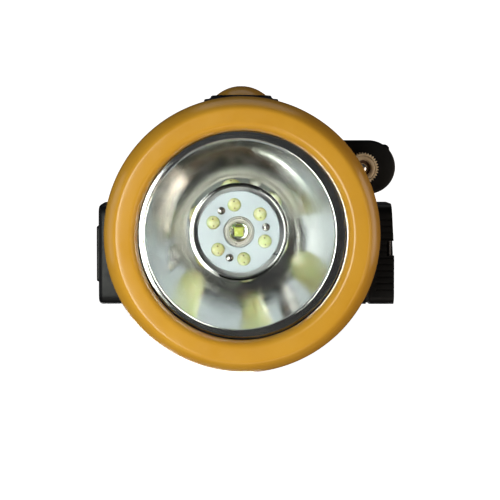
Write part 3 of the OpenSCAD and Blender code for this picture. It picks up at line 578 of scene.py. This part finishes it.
def drawn_in(outline, inset):
    """The outline moved inwards by inset: each point less inset times the mean of the normals
    of the two edges that meet there, over the cosine of half their turn."""
    on = np.roll(outline, -1, 0) - outline
    on /= np.linalg.norm(on, axis=1)[:, None]
    normal = np.stack([on[:, 1], -on[:, 0]], 1)
    mean = normal + np.roll(normal, 1, 0)
    mean /= np.maximum((mean**2).sum(1), 0.4)[:, None] / 2
    u, v = outline.T
    area = (u * np.roll(v, -1) - v * np.roll(u, -1)).sum()
    return outline - inset * mean * np.sign(area)


def prism(outline, start, end, edge_start, edge_end, axes, steps=5):
    """Carries an outline from start to end along the third of the axes; over each rounded end
    the outline is drawn in by edge times (1 - sin a) while it advances by edge times
    (1 - cos a), and the ends are closed flat."""
    a = np.linspace(0, np.pi / 2, steps)
    first = [(start + edge_start * (1 - np.sin(q)), edge_start * (1 - np.cos(q))) for q in a[::-1]]
    last = [(end - edge_end * (1 - np.sin(q)), edge_end * (1 - np.cos(q))) for q in a]
    stops = sorted(first + last, key=lambda stop: stop[0])
    basis = np.array(axes, float)
    rings = [np.column_stack([drawn_in(outline, i), np.full(len(outline), t)]) @ basis
             for t, i in stops]
    n = len(outline)
    faces = [tuple(f) for f in grid_faces(len(stops), n)]
    faces += [tuple(range(n)), tuple(range((len(stops) - 1) * n, len(stops) * n))]
    return np.concatenate(rings), faces


ALONG_Y = ((1, 0, 0), (0, 0, 1), (0, -1, 0))  # outline in (x, z), carried by depth
ALONG_X = ((0, -1, 0), (0, 0, 1), (1, 0, 0))  # outline in (depth, z), carried by x
lug_r, lug_z, lug_back, lug_front = 0.0070, 0.0169, 0.0356, 0.0446
lug_x = housing_high.x - lug_r
turn = np.radians(np.linspace(90, -90, 40))
lug_round = np.stack([lug_x + lug_r * np.cos(turn), lug_z + lug_r * np.sin(turn)], 1)
nib = 0.0005 * np.exp(-(((np.degrees(turn) - 48) / 7.0) ** 4))[:, None]
lug_round += nib * np.stack([np.cos(turn), np.sin(turn)], 1)
lug_outline = np.concatenate([[[0.0225, lug_z - lug_r], [0.0225, lug_z + lug_r - 0.001]],
                              [[0.0235, lug_z + lug_r]], lug_round])
outward(built("charging_lug", *prism(lug_outline, lug_back, lug_front, 0.0009, 0.0007, ALONG_Y),
              "lamp", black, slot="black_shell"))

# ---------------------------------------------------------------------------------------------
# Push button: a domed yellow cap, moulded like the bezel, in a smooth black collar ring that is
# pressed into the boss. The cap's flange stays under the collar's shoulder.

button_path = rounded_path([
    [0.0019, pocket_floor + 0.0034, 0], [0.0054, pocket_floor + 0.0034, 0.0002],
    [0.0054, pocket_floor + 0.0016, 0.0001], [0.00785, pocket_floor + 0.0016, 0.0002],
    [0.00785, pocket_floor + 0.00215, 0.0001], [0.0066, pocket_floor + 0.00215, 0.0001],
    [0.0066, pocket_floor + 0.0046, 0]])
cap_low, cap_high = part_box("button_cap")
collar_top = collar_high.z
reach = np.linspace(0, 1, 40)[1:]
rise = cap_high.z - collar_top
button_dome = np.stack([0.0066 * (1 - reach), collar_top + rise * (
    1 - (1 - reach) ** 2.15) - 0.00004], 1)
button_dome[-1] = [0, cap_high.z - 0.00004]
button_path = np.concatenate([button_path, [[0.0066, collar_top - 0.0001]], button_dome,
                              [[0, pocket_floor + 0.0042], [0.0019, pocket_floor + 0.0042]]])
outward(built("button_dome", *turned(button_path, (0, button_y, 0), (0, 0, 1), 128), "button",
              yellow, ["button_cap"], "yellow_plastic"))

gloss_black = moulded_plastic("gloss_black", (0.003, 0.003, 0.0035), (0.006, 0.006, 0.007), 0.25,
                              0.4, grain=0.06, Specular_IOR_Level=0.15)
collar_path = rounded_path([
    [0.00805, pocket_floor + 0.0006, 0], [0.00857, pocket_floor + 0.0006, 0.0001],
    [0.00857, boss_top, 0.0003], [0.0080, boss_top + 0.0003, 0.0002],
    [0.0078, collar_top, 0.0004], [0.00668, collar_top, 0.0003],
    [0.00668, pocket_floor + 0.00225, 0.0001], [0.00805, pocket_floor + 0.00225, 0.0001],
    [0.00805, pocket_floor + 0.0006, 0]])
outward(built("collar_ring", *turned(collar_path, (0, button_y, 0), (0, 0, 1), 128, closed=True),
              "lamp", gloss_black, ["button_collar"], "black_collar"))

# ---------------------------------------------------------------------------------------------
# Charging contact: a knurled brass nut on a threaded brass sleeve, a brown fibre bush in it,
# and a plated steel stud at the centre. The nut is turned, so its face shows fine rings.


def brassy(name, one, two, low, high):
    """Turned brass: patches of tarnish, and fine circular tool marks about the socket's axis."""
    material, nodes, links, bsdf, place = shader(name, Metallic=0.35)
    where = place.outputs["Object"]
    patch = spread(nodes, links, noise(nodes, links, where, 650, 5), 0, 1, 0.35, 0.65)
    links.new(mixed(nodes, links, patch, one, two), bsdf.inputs["Base Color"])
    links.new(spread(nodes, links, noise(nodes, links, where, 1100, 4), low, high),
              bsdf.inputs["Roughness"])
    shift = nodes.new("ShaderNodeMapping")
    shift.inputs["Location"].default_value = (-socket[0], 0, -socket[2])
    shift.inputs["Scale"].default_value = (1, 0, 1)
    links.new(where, shift.inputs["Vector"])
    rings = nodes.new("ShaderNodeTexWave")
    rings.wave_type, rings.rings_direction = "RINGS", "SPHERICAL"
    rings.inputs["Scale"].default_value = 1800
    rings.inputs["Distortion"].default_value = 0.6
    links.new(shift.outputs["Vector"], rings.inputs["Vector"])
    bumped(nodes, links, bsdf, rings.outputs["Fac"], 0.18, 0.00003)
    bumped(nodes, links, bsdf, noise(nodes, links, where, 2200, 3), 0.5, 0.00006)
    return material


brass = brassy("turned_brass", (0.98, 0.83, 0.60), (0.80, 0.64, 0.42), 0.34, 0.55)


def knurled(path, teeth, depth, cut, segments):
    """A turned ring whose radius is cut by depth times a triangle wave of so many teeth, times
    the path's own share of cut (1 on the rim, 0 elsewhere)."""
    a = np.linspace(0, 2 * np.pi, segments, endpoint=False)
    wave = np.abs(((a * teeth / (2 * np.pi)) % 1) * 2 - 1)
    radius = path[:, 0, None] - depth * wave[None] * np.asarray(cut, float)[:, None]
    points = np.stack([radius * np.cos(a), np.broadcast_to(-path[:, 1, None], radius.shape),
                       radius * np.sin(a)], -1).reshape(-1, 3) + np.array(socket)
    return points, [tuple(f) for f in grid_faces(len(path), segments, wrap_rows=True)]


nut_path = np.array([
    [0.00328, nut_back], [nut_r - 0.0002, nut_back], [nut_r, nut_back + 0.0002],
    [nut_r, nut_front - 0.0002], [nut_r - 0.00012, nut_front - 0.00006],
    [nut_r - 0.0003, nut_front], [nut_r - 0.0006, nut_front], [0.0034, nut_front],
    [0.0033, nut_front - 0.00006], [0.00328, nut_front - 0.0002]])
cut = [0, 1, 1, 1, 0.8, 0.5, 0, 0, 0, 0]
outward(built("knurled_nut", *knurled(nut_path, 34, 0.00060, cut, 544), "lamp", brass,
              ["charge_nut"], "brass", smooth=25))
sleeve_path = rounded_path([
    [0.00207, nut_back - 0.005, 0], [0.0032, nut_back - 0.005, 0.0001],
    [0.0032, nut_front - 0.00014, 0.0001], [0.0026, nut_front - 0.00012, 0.0002],
    [0.0023, nut_front - 0.0003, 0.0002], [0.00207, nut_front - 0.0009, 0.0002],
    [0.00207, nut_back - 0.005, 0]])
outward(built("socket_sleeve", *turned(sleeve_path, socket, (0, -1, 0), 96, closed=True), "lamp",
              brass, ["charge_socket"], "brass"))
bush_path = rounded_path([
    [0.00143, nut_back - 0.005, 0], [0.00203, nut_back - 0.005, 0.0001],
    [0.00203, nut_back + 0.0010, 0.0001], [0.00143, nut_back + 0.0009, 0.0001],
    [0.00143, nut_back - 0.005, 0]])
fibre = moulded_plastic("brown_fibre", (0.16, 0.09, 0.05), (0.10, 0.06, 0.035), 0.35, 0.55)
outward(built("contact_bush", *turned(bush_path, socket, (0, -1, 0), 64, closed=True), "lamp",
              fibre, ["charge_insulator"], "black_collar"))
contact, nodes, links, bsdf, place = shader("bright_contact", Metallic=1.0)
where = place.outputs["Object"]
links.new(mixed(nodes, links, noise(nodes, links, where, 900, 4), (0.86, 0.83, 0.80),
                (0.55, 0.52, 0.49)), bsdf.inputs["Base Color"])
links.new(spread(nodes, links, noise(nodes, links, where, 1500, 4), 0.12, 0.34),
          bsdf.inputs["Roughness"])
bumped(nodes, links, bsdf, noise(nodes, links, where, 1700, 3), 0.5, 0.00006)
a = np.linspace(0, np.pi / 2, 14)
stud_path = np.concatenate([[[0, nut_back - 0.005], [0.0014, nut_back - 0.005]],
                            np.stack([0.0014 * np.cos(a), nut_back + 0.0015 + 0.0006 * np.sin(a)],
                                     1)])
stud_path[-1, 0] = 0
outward(built("contact_stud", *turned(stud_path, socket, (0, -1, 0), 48), "lamp", contact,
              ["charge_stud"], "contact_steel"))

# ---------------------------------------------------------------------------------------------
# Battery case: the black box that lies across the back and holds the cell, moulded with rounded
# long edges, a raised pad on its left end, and a knuckle for the hinge pin below.

case_low, case_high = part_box("battery_case")
pin_low, pin_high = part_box("hinge_pin")
hinge_d, hinge_z = -(pin_low.y + pin_high.y) / 2, (pin_low.z + pin_high.z) / 2
case_back, case_front, case_top = 0.0090, housing_back, case_high.z
case_bottom = case_top - 0.027
case_left, case_right = case_low.x + 0.0007, case_high.x
case_outline = soft_outline([
    [case_back, case_bottom, 0.0034], [case_front, case_bottom, 0.0034],
    [case_front, case_top, 0.0034], [case_back, case_top, 0.0034]], 10)
middle = (case_top + case_bottom) / 2
pad_outline = soft_outline([
    [case_back + 0.004, middle - 0.0075, 0.001], [case_front - 0.004, middle - 0.0075, 0.001],
    [case_front - 0.004, middle + 0.0075, 0.001], [case_back + 0.004, middle + 0.0075, 0.001]], 6)
outward(built("case_shell", *prism(case_outline, case_left, case_right, 0.0012, 0.0001, ALONG_X),
              "lamp", black, ["battery_case"], "black_shell"))
outward(built("case_end_pad", *prism(pad_outline, case_left - 0.0007, case_left + 0.0006, 0.0004,
                                     0.0001, ALONG_X), "lamp", black, slot="black_shell"))
round_under = np.radians(np.linspace(180, 360, 24))
knuckle = np.concatenate([
    np.stack([hinge_d + 0.0031 * np.cos(round_under), hinge_z + 0.0031 * np.sin(round_under)], 1)[:12],
    [[hinge_d, hinge_z - 0.0031], [hinge_d + 0.0050, hinge_z - 0.0031],
     [hinge_d + 0.0055, hinge_z - 0.0026], [hinge_d + 0.0055, case_bottom + 0.0010],
     [hinge_d - 0.0009, case_bottom + 0.0010], [hinge_d - 0.0009, hinge_z + 0.0030]],
    [[hinge_d - 0.0019, hinge_z + 0.0024], [hinge_d - 0.0028, hinge_z + 0.0013]]])
outward(built("hinge_knuckle", *prism(knuckle, -0.00665, 0.00665, 0.0003, 0.0003, ALONG_X), "lamp",
              black, slot="black_shell"))

# ---------------------------------------------------------------------------------------------
# Carried over from the frame: the ribbed end cap, the rear cover, seals, screws, the clip with
# its pin, and everything inside. Each keeps its shape and gets the finish of its own material.


def eased(material, radius):
    """Rounds the light on sharp edges, as on moulded or tumbled parts."""
    nodes, links = material.node_tree.nodes, material.node_tree.links
    bevel = nodes.new("ShaderNodeBevel")
    bevel.inputs["Radius"].default_value = radius
    for node in nodes:
        if node.bl_idname == "ShaderNodeBump" and not node.inputs["Normal"].links:
            links.new(bevel.outputs["Normal"], node.inputs["Normal"])
    return material


def metal(name, one, two, low, high, cloud=260, scratch=0.12, edge=0.00015):
    """Bare or plated metal: patchy colour, uneven polish, and short brushed scratches."""
    material, nodes, links, bsdf, place = shader(name, Metallic=1.0)
    where = place.outputs["Object"]
    links.new(mixed(nodes, links, noise(nodes, links, where, cloud, 4), one, two),
              bsdf.inputs["Base Color"])
    links.new(spread(nodes, links, noise(nodes, links, where, 420, 5), low, high),
              bsdf.inputs["Roughness"])
    stretch = nodes.new("ShaderNodeMapping")
    stretch.inputs["Scale"].default_value = (200, 3000, 3000)
    links.new(where, stretch.inputs["Vector"])
    bumped(nodes, links, bsdf, noise(nodes, links, stretch.outputs["Vector"], 1, 2), scratch, 2e-5)
    return eased(material, edge)


case_black = eased(moulded_plastic("case_black", *black_tones, 0.34, 0.5, grain=0.3,
                                   grain_scale=4200, Specular_IOR_Level=0.18), 0.0003)
soft_rubber = eased(moulded_plastic("seal_rubber", (0.012, 0.012, 0.013), (0.022, 0.021, 0.02),
                                    0.6, 0.8), 0.0001)
zinc = metal("zinc_steel", (0.60, 0.60, 0.61), (0.46, 0.46, 0.47), 0.2, 0.42)
spring = metal("spring_steel", (0.50, 0.50, 0.52), (0.42, 0.42, 0.44), 0.36, 0.46, scratch=0.05)
aluminium = metal("machined_aluminium", (0.74, 0.75, 0.76), (0.62, 0.63, 0.64), 0.25, 0.45)
blackened = metal("blackened_steel", (0.035, 0.035, 0.038), (0.06, 0.06, 0.062), 0.25, 0.4)
washer_brass = metal("washer_brass", (0.74, 0.52, 0.22), (0.60, 0.40, 0.16), 0.2, 0.4)
board = eased(moulded_plastic("board_green", (0.012, 0.075, 0.030), (0.02, 0.10, 0.04), 0.25, 0.4,
                              grain=0.1), 0.0001)
epoxy = eased(moulded_plastic("chip_epoxy", (0.012, 0.012, 0.013), (0.02, 0.02, 0.021), 0.4, 0.6),
              0.0001)
film_blue = eased(moulded_plastic("cell_film", (0.012, 0.075, 0.32), (0.02, 0.10, 0.38), 0.2, 0.35,
                                  grain=0.05), 0.0002)
nylon = eased(moulded_plastic("natural_nylon", (0.66, 0.64, 0.57), (0.58, 0.56, 0.5), 0.35, 0.5),
              0.0001)
finish_of = {
    "battery_cap": case_black, "rear_cover": case_black, "clip_base": case_black,
    "lens_gasket": soft_rubber, "housing_oring": soft_rubber, "cap_gasket": soft_rubber,
    "cover_gasket": soft_rubber, "button_seal": soft_rubber,
    "cap_screws": zinc, "case_screws": zinc, "cover_screws": zinc, "heat_sink_screws": zinc,
    "switch_board_screws": zinc, "bezel_lock_screw": zinc, "clip_rivets": zinc,
    "hinge_pin": zinc, "hinge_circlips": spring, "hinge_washers": washer_brass,
    "clip_blade": spring, "cell_spring": spring, "button_spring": spring, "lanyard_pin": blackened,
    "cell_contact": zinc, "heat_sink": aluminium, "main_led_star": aluminium,
    "board_capacitor": aluminium, "aux_board": board, "driver_board": board,
    "switch_board": board, "board_inductor": epoxy, "board_chips": epoxy, "switch_body": epoxy,
    "battery_cell": film_blue, "switch_stem": nylon, "button_plunger": nylon,
}
for node, material in finish_of.items():
    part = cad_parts[node]
    part.data.materials.clear()
    part.data.materials.append(material)

# ---------------------------------------------------------------------------------------------
# Camera and light: a long lens a little above and left of the axis, soft boxes at the left, right
# and below, more behind, beside and above for the other sides, and a pale floor under the head's
# lowest swing that turns up behind the lamp.

view_distance, view_width = 0.52, 0.1254
view_height, view_side = 3.1, -1.0  # degrees
scene = bpy.context.scene
camera = bpy.data.objects.new("camera", bpy.data.cameras.new("camera"))
scene.collection.objects.link(camera)
scene.camera = camera
camera.data.sensor_width = 36
camera.data.lens = camera.data.sensor_width * view_distance / view_width
a, e = math.radians(view_side), math.radians(view_height)
back = np.array([math.sin(a) * math.cos(e), -math.cos(a) * math.cos(e), math.sin(e)])
aim = np.array([0.0019, -front + 0.002, -0.0036])
camera.location = aim + back * view_distance
camera.rotation_euler = Vector(-back).to_track_quat("-Z", "Y").to_euler()
camera.data.clip_start = 0.01


def soft_box(name, where, size, power, towards=(0, -0.05, 0), colour=(1, 1, 1)):
    """A rectangular area light aimed at a point."""
    light = bpy.data.lights.new(name, "AREA")
    light.shape = "RECTANGLE"
    light.size, light.size_y = size
    light.energy = power
    light.color = colour
    holder = bpy.data.objects.new(name, light)
    scene.collection.objects.link(holder)
    holder.location = where
    holder.rotation_euler = (Vector(towards) - Vector(where)).to_track_quat("-Z", "Y").to_euler()
    return holder


soft_box("key_panel", (-0.105, -0.30, -0.03), (0.11, 0.20), 0.88, colour=(0.97, 1.0, 0.92))
soft_box("left_strip", (-0.44, -0.10, 0.00), (0.07, 0.30), 0.06)
soft_box("near_right", (0.19, -0.28, -0.05), (0.05, 0.20), 0.16, colour=(1.0, 0.84, 0.68))
soft_box("right_strip", (0.42, -0.20, -0.04), (0.07, 0.30), 0.25, colour=(1.0, 0.80, 0.62))
soft_box("low_box", (0.02, -0.26, -0.40), (0.50, 0.20), 0.42, colour=(1.0, 0.88, 0.75))

soft_box("back_box", (-0.10, 0.42, -0.28), (0.26, 0.24), 1.7)
soft_box("side_right", (0.42, 0.06, 0.04), (0.20, 0.30), 0.42, colour=(1.0, 0.86, 0.74))
soft_box("side_left", (-0.42, 0.06, 0.04), (0.20, 0.30), 0.20)
soft_box("top_box", (0.02, 0.10, 0.42), (0.35, 0.20), 0.18)

world = bpy.data.worlds.new("room")
scene.world = world
world.use_nodes = True
room, seen_as = world.node_tree.nodes["Background"], world.node_tree.nodes.new("ShaderNodeLightPath")
room.inputs["Color"].default_value = (1, 1, 1, 1)
dimmed = world.node_tree.nodes.new("ShaderNodeMapRange")
# The camera sees a white backdrop, while the lamp is lit by a dim room.
room_light, backdrop = 0.04, 1.0
dimmed.inputs["To Min"].default_value = room_light
dimmed.inputs["To Max"].default_value = backdrop
world.node_tree.links.new(seen_as.outputs["Is Camera Ray"], dimmed.inputs["Value"])
world.node_tree.links.new(dimmed.outputs["Result"], room.inputs["Strength"])
scene.view_settings.view_transform = "Standard"

swing_room = 0.034
floor_z = cad_low.z - swing_room
floor_rows, floor_columns = 60, 30
sweep_t = np.linspace(0, 1, floor_rows)
ys = np.interp(sweep_t, [0, 0.5, 0.6, 0.7, 1], [-0.55, 0.5, 0.62, 0.66, 0.66])
zs = np.interp(sweep_t, [0, 0.5, 0.6, 0.7, 1], [0, 0, 0.04, 0.16, 1.2])
xs = np.linspace(-1.5, 1.5, floor_columns)
across, along = np.meshgrid(xs, ys)
points = np.stack([across, along, floor_z + np.meshgrid(xs, zs)[1]], -1).reshape(-1, 3)
paper, nodes, links, bsdf, place = shader("white_paper", Emission_Strength=1.0)
links.new(mixed(nodes, links, noise(nodes, links, place.outputs["Object"], 30, 3),
                (0.86, 0.86, 0.86), (0.84, 0.84, 0.84)), bsdf.inputs["Base Color"])
bsdf.inputs["Emission Color"].default_value = (1, 1, 1, 1)
bsdf.inputs["Roughness"].default_value = 0.9
mesh = bpy.data.meshes.new("floor_sweep")
mesh.from_pydata(points.tolist(), [], grid_faces(floor_rows, floor_columns, wrap_columns=False).tolist())
floor = bpy.data.objects.new("floor_sweep", mesh)
scene.collection.objects.link(floor)
mesh.materials.append(paper)
# Only the camera sees the floor, so it neither lights nor shades the lamp.
floor.visible_diffuse = floor.visible_glossy = False
floor.visible_transmission = floor.visible_shadow = False
